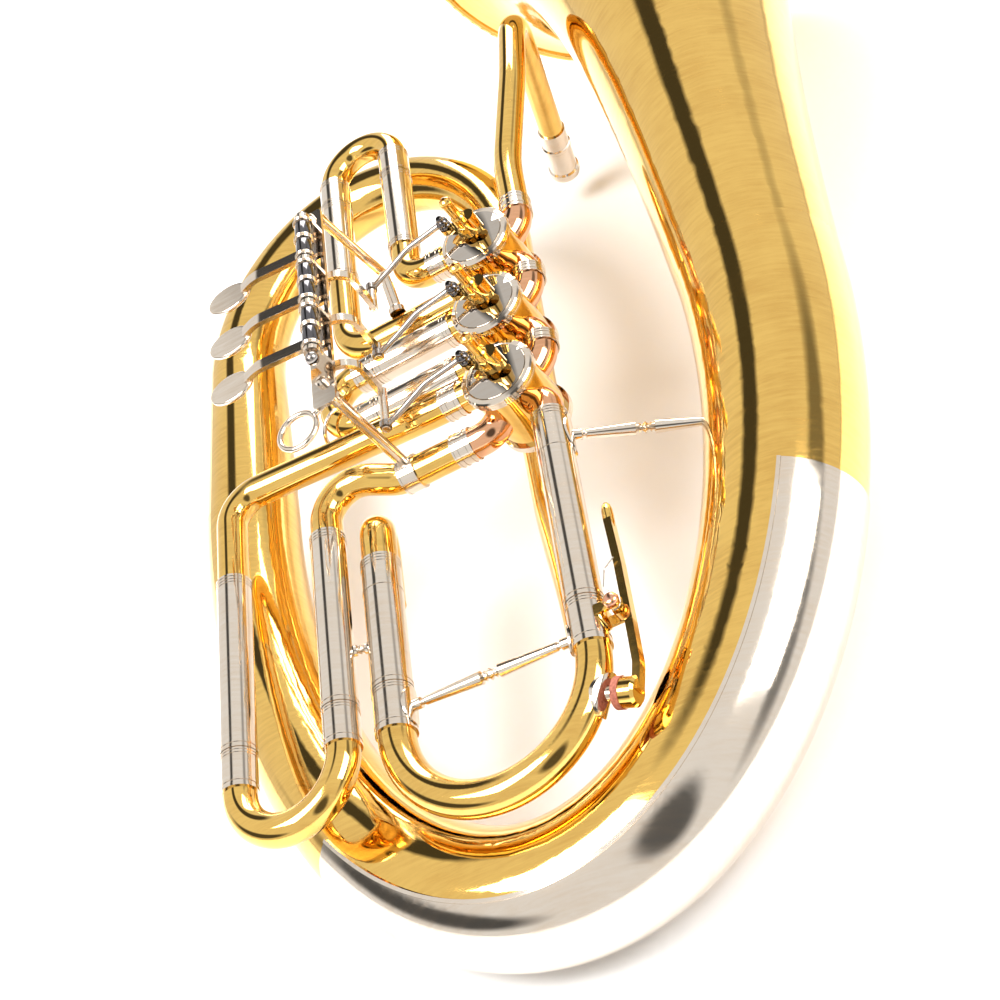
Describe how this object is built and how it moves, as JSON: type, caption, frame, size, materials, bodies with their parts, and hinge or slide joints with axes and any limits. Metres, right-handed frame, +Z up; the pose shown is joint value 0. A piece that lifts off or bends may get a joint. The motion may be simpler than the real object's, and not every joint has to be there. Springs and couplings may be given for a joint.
{
  "type": "rotary valve tuba",
  "caption": "Oval brass tuba with side rotary valves, finger levers on an axle, pull slides, a tuning slide with water key, and an upright bell.",
  "frame": {"origin": "centre of the bounding box at floor height, the horn lying on its back on bell rim and bottom bow", "axes": "+Y towards the bell mouth, +X to the bell side, +Z up out of the valve caps and levers"},
  "size_m": [0.4642, 0.702, 0.2911],
  "materials": {
    "lacquered_brass": "clear lacquered, polished",
    "gold_brass": "clear lacquered, polished",
    "nickel_silver": "polished nickel silver",
    "dark_steel": "satin",
    "spring_wire": "bright drawn wire",
    "cork": "matte"
  },
  "bodies": {
    "horn": {"casing_1": "lacquered_brass", "casing_2": "lacquered_brass", "casing_3": "lacquered_brass", "cap_front_1": "nickel_silver", "cap_front_2": "nickel_silver", "cap_front_3": "nickel_silver", "caps_rear": "nickel_silver", "knuckle_in": "gold_brass", "knuckle_12": "gold_brass", "knuckle_23": "gold_brass", "knuckle_out": "gold_brass", "knuckle_low": "gold_brass", "ferrules": "nickel_silver", "port_tubes_1": "lacquered_brass", "port_tubes_2": "lacquered_brass", "port_tubes_3": "lacquered_brass", "sleeves_1": "nickel_silver", "sleeves_2": "nickel_silver", "sleeves_3": "nickel_silver", "main_sleeves": "nickel_silver", "return_bow": "lacquered_brass", "inner_branch": "lacquered_brass", "top_bow": "lacquered_brass", "left_branch": "lacquered_brass", "bottom_bow": "lacquered_brass", "bow_guard": "nickel_silver", "bell": "lacquered_brass", "leadpipe": "lacquered_brass", "mouthpiece_receiver": "nickel_silver", "braces": "nickel_silver", "lever_plate": "nickel_silver", "lever_axle": "dark_steel", "plate_posts": "nickel_silver", "thumb_ring": "nickel_silver"},
    "rotor_1": {"rotor_1": "lacquered_brass", "stop_arm_1": "lacquered_brass"},
    "lever_1": {"lever_1": "dark_steel"},
    "rod_1": {"linkage_rod_1": "nickel_silver"},
    "slide_1": {"slide_1_legs": "nickel_silver", "slide_1_bow": "lacquered_brass"},
    "rotor_2": {"rotor_2": "lacquered_brass", "stop_arm_2": "lacquered_brass"},
    "lever_2": {"lever_2": "dark_steel"},
    "rod_2": {"linkage_rod_2": "nickel_silver"},
    "slide_2": {"slide_2_legs": "nickel_silver", "slide_2_bow": "lacquered_brass"},
    "rotor_3": {"rotor_3": "lacquered_brass", "stop_arm_3": "lacquered_brass"},
    "lever_3": {"lever_3": "dark_steel"},
    "rod_3": {"linkage_rod_3": "nickel_silver"},
    "slide_3": {"slide_3_legs": "nickel_silver", "slide_3_bow": "lacquered_brass"},
    "main_slide": {"main_slide_legs": "nickel_silver", "main_slide_bow": "lacquered_brass", "main_slide_brace": "nickel_silver", "key_saddle": "lacquered_brass", "key_spring": "spring_wire", "key_nipple": "nickel_silver"},
    "water_key": {"water_key": "lacquered_brass", "key_cork": "cork"}
  },
  "joints": [
    {"name": "lever_1_press", "type": "hinge", "parent": "horn", "child": "lever_1", "pos_m": [-0.10504, -0.02071, 0.18752], "axis": [0.0147, -0.9885, -0.1505], "range_deg": [0, 24], "stiffness_Nm_per_rad": 0.12, "springref_deg": -20.05},
    {"name": "rod_1_pivot", "type": "hinge", "parent": "lever_1", "child": "rod_1", "pos_m": [-0.09221, -0.01103, 0.14248], "axis": [0.0147, -0.9885, -0.1505], "range_deg": [-30, 0]},
    {"name": "rotor_1_turn", "type": "hinge", "parent": "horn", "child": "rotor_1", "pos_m": [-0.03172, -0.00508, 0.12591], "axis": [0.0958, 0.1513, -0.9838], "range_deg": [0, 90]},
    {"name": "lever_2_press", "type": "hinge", "parent": "horn", "child": "lever_2", "pos_m": [-0.10458, -0.05135, 0.18285], "axis": [0.0147, -0.9885, -0.1505], "range_deg": [0, 24], "stiffness_Nm_per_rad": 0.12, "springref_deg": -20.05},
    {"name": "rod_2_pivot", "type": "hinge", "parent": "lever_2", "child": "rod_2", "pos_m": [-0.09151, -0.05828, 0.13528], "axis": [0.0147, -0.9885, -0.1505], "range_deg": [-30, 0]},
    {"name": "rotor_2_turn", "type": "hinge", "parent": "horn", "child": "rotor_2", "pos_m": [-0.03102, -0.05233, 0.11871], "axis": [0.0958, 0.1513, -0.9838], "range_deg": [0, 90]},
    {"name": "lever_3_press", "type": "hinge", "parent": "horn", "child": "lever_3", "pos_m": [-0.10413, -0.08199, 0.17818], "axis": [0.0147, -0.9885, -0.1505], "range_deg": [0, 24], "stiffness_Nm_per_rad": 0.12, "springref_deg": -20.05},
    {"name": "rod_3_pivot", "type": "hinge", "parent": "lever_3", "child": "rod_3", "pos_m": [-0.09081, -0.10553, 0.12809], "axis": [0.0147, -0.9885, -0.1505], "range_deg": [-30, 0]},
    {"name": "rotor_3_turn", "type": "hinge", "parent": "horn", "child": "rotor_3", "pos_m": [-0.03032, -0.09958, 0.11151], "axis": [0.0958, 0.1513, -0.9838], "range_deg": [0, 90]},
    {"name": "slide_1_pull", "type": "slide", "parent": "horn", "child": "slide_1", "axis": [-0.0147, 0.9885, 0.1505], "range_m": [0, 0.03]},
    {"name": "slide_2_pull", "type": "slide", "parent": "horn", "child": "slide_2", "axis": [-0.9953, 0, -0.0969], "range_m": [0, 0.02]},
    {"name": "slide_3_pull", "type": "slide", "parent": "horn", "child": "slide_3", "axis": [0.0147, -0.9885, -0.1505], "range_m": [0, 0.05]},
    {"name": "main_slide_pull", "type": "slide", "parent": "horn", "child": "main_slide", "axis": [0.0147, -0.9885, -0.1505], "range_m": [0, 0.045]},
    {"name": "water_key_open", "type": "hinge", "parent": "main_slide", "child": "water_key", "pos_m": [0.00062, -0.23945, 0.09302], "axis": [-0.0958, -0.1513, 0.9838], "range_deg": [0, 7], "stiffness_Nm_per_rad": 0.5, "springref_deg": -9.74}
  ],
  "couplings": [
    {"joint": "rod_1_pivot", "follows": "lever_1_press", "ratio": -1.25},
    {"joint": "rotor_1_turn", "follows": "lever_1_press", "ratio": 3.75},
    {"joint": "rod_2_pivot", "follows": "lever_2_press", "ratio": -1.25},
    {"joint": "rotor_2_turn", "follows": "lever_2_press", "ratio": 3.75},
    {"joint": "rod_3_pivot", "follows": "lever_3_press", "ratio": -1.25},
    {"joint": "rotor_3_turn", "follows": "lever_3_press", "ratio": 3.75}
  ]
}
